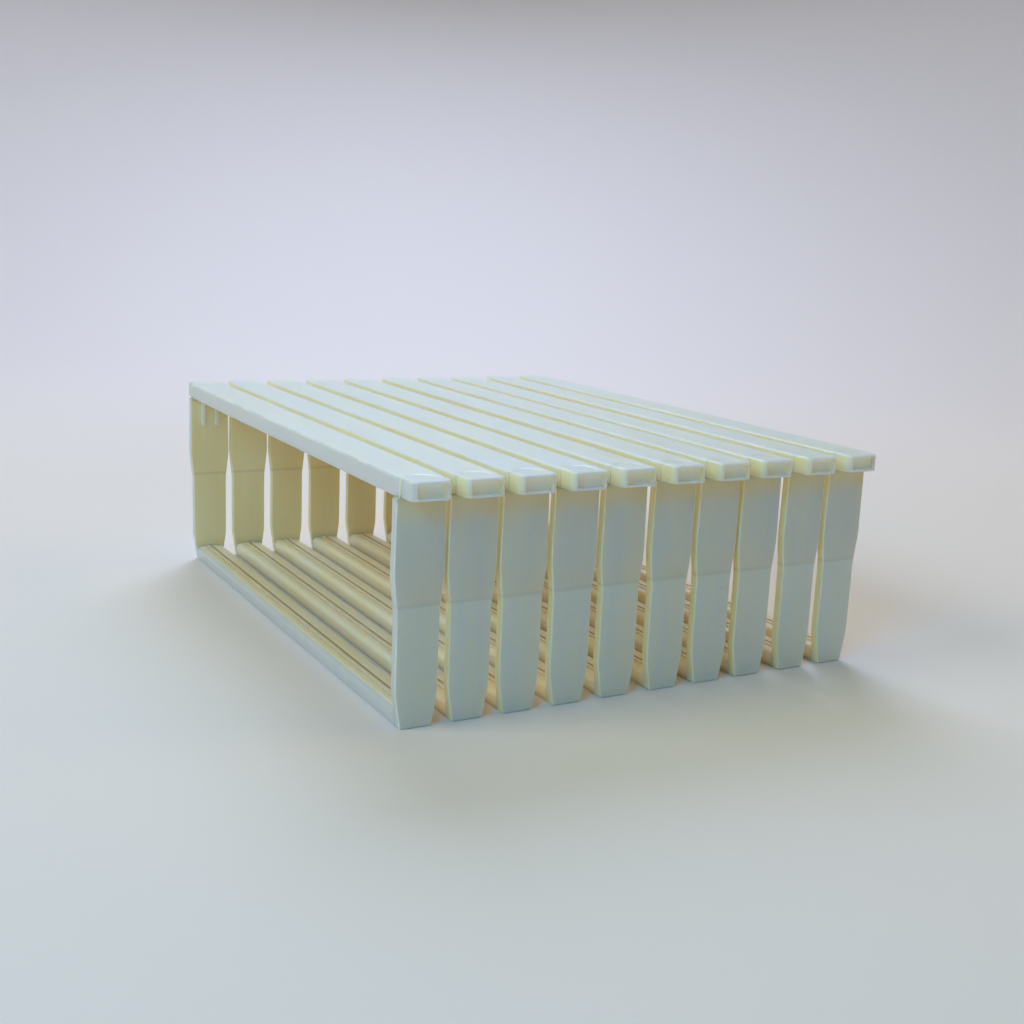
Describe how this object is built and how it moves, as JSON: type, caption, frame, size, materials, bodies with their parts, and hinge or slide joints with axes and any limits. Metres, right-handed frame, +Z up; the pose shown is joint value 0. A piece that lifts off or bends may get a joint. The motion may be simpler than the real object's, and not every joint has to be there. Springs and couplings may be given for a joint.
{
  "type": "row of beehive frames",
  "caption": "Row of empty moulded plastic beehive frames standing side by side, each snapped together from a top bar with lugs, two self-spacing end bars and a grooved bottom bar.",
  "frame": {"origin": "on the floor, under the middle of the row", "axes": "+X across the row from the first frame to the last, +Y along the bars from front to rear, +Z up"},
  "size_m": [0.3726, 0.4826, 0.159],
  "materials": {
    "ivory_plastic": "satin, slightly translucent"
  },
  "bodies": {
    "frame_01": {"frame_01_top_bar": "ivory_plastic", "frame_01_front_end_bar": "ivory_plastic", "frame_01_rear_end_bar": "ivory_plastic", "frame_01_bottom_bar": "ivory_plastic"},
    "frame_02": {"frame_02_top_bar": "ivory_plastic", "frame_02_front_end_bar": "ivory_plastic", "frame_02_rear_end_bar": "ivory_plastic", "frame_02_bottom_bar": "ivory_plastic"},
    "frame_03": {"frame_03_top_bar": "ivory_plastic", "frame_03_front_end_bar": "ivory_plastic", "frame_03_rear_end_bar": "ivory_plastic", "frame_03_bottom_bar": "ivory_plastic"},
    "frame_04": {"frame_04_top_bar": "ivory_plastic", "frame_04_front_end_bar": "ivory_plastic", "frame_04_rear_end_bar": "ivory_plastic", "frame_04_bottom_bar": "ivory_plastic"},
    "frame_05": {"frame_05_top_bar": "ivory_plastic", "frame_05_front_end_bar": "ivory_plastic", "frame_05_rear_end_bar": "ivory_plastic", "frame_05_bottom_bar": "ivory_plastic"},
    "frame_06": {"frame_06_top_bar": "ivory_plastic", "frame_06_front_end_bar": "ivory_plastic", "frame_06_rear_end_bar": "ivory_plastic", "frame_06_bottom_bar": "ivory_plastic"},
    "frame_07": {"frame_07_top_bar": "ivory_plastic", "frame_07_front_end_bar": "ivory_plastic", "frame_07_rear_end_bar": "ivory_plastic", "frame_07_bottom_bar": "ivory_plastic"},
    "frame_08": {"frame_08_top_bar": "ivory_plastic", "frame_08_front_end_bar": "ivory_plastic", "frame_08_rear_end_bar": "ivory_plastic", "frame_08_bottom_bar": "ivory_plastic"},
    "frame_09": {"frame_09_top_bar": "ivory_plastic", "frame_09_front_end_bar": "ivory_plastic", "frame_09_rear_end_bar": "ivory_plastic", "frame_09_bottom_bar": "ivory_plastic"},
    "frame_10": {"frame_10_top_bar": "ivory_plastic", "frame_10_front_end_bar": "ivory_plastic", "frame_10_rear_end_bar": "ivory_plastic", "frame_10_bottom_bar": "ivory_plastic"}
  },
  "joints": [
    {"name": "lift_frame_02", "type": "slide", "parent": "frame_01", "child": "frame_02", "axis": [0, 0, 1], "range_m": [0, 0.2]},
    {"name": "lift_frame_03", "type": "slide", "parent": "frame_01", "child": "frame_03", "axis": [0, 0, 1], "range_m": [0, 0.2]},
    {"name": "lift_frame_04", "type": "slide", "parent": "frame_01", "child": "frame_04", "axis": [0, 0, 1], "range_m": [0, 0.2]},
    {"name": "lift_frame_05", "type": "slide", "parent": "frame_01", "child": "frame_05", "axis": [0, 0, 1], "range_m": [0, 0.2]},
    {"name": "lift_frame_06", "type": "slide", "parent": "frame_01", "child": "frame_06", "axis": [0, 0, 1], "range_m": [0, 0.2]},
    {"name": "lift_frame_07", "type": "slide", "parent": "frame_01", "child": "frame_07", "axis": [0, 0, 1], "range_m": [0, 0.2]},
    {"name": "lift_frame_08", "type": "slide", "parent": "frame_01", "child": "frame_08", "axis": [0, 0, 1], "range_m": [0, 0.2]},
    {"name": "lift_frame_09", "type": "slide", "parent": "frame_01", "child": "frame_09", "axis": [0, 0, 1], "range_m": [0, 0.2]},
    {"name": "lift_frame_10", "type": "slide", "parent": "frame_01", "child": "frame_10", "axis": [0, 0, 1], "range_m": [0, 0.2]}
  ]
}
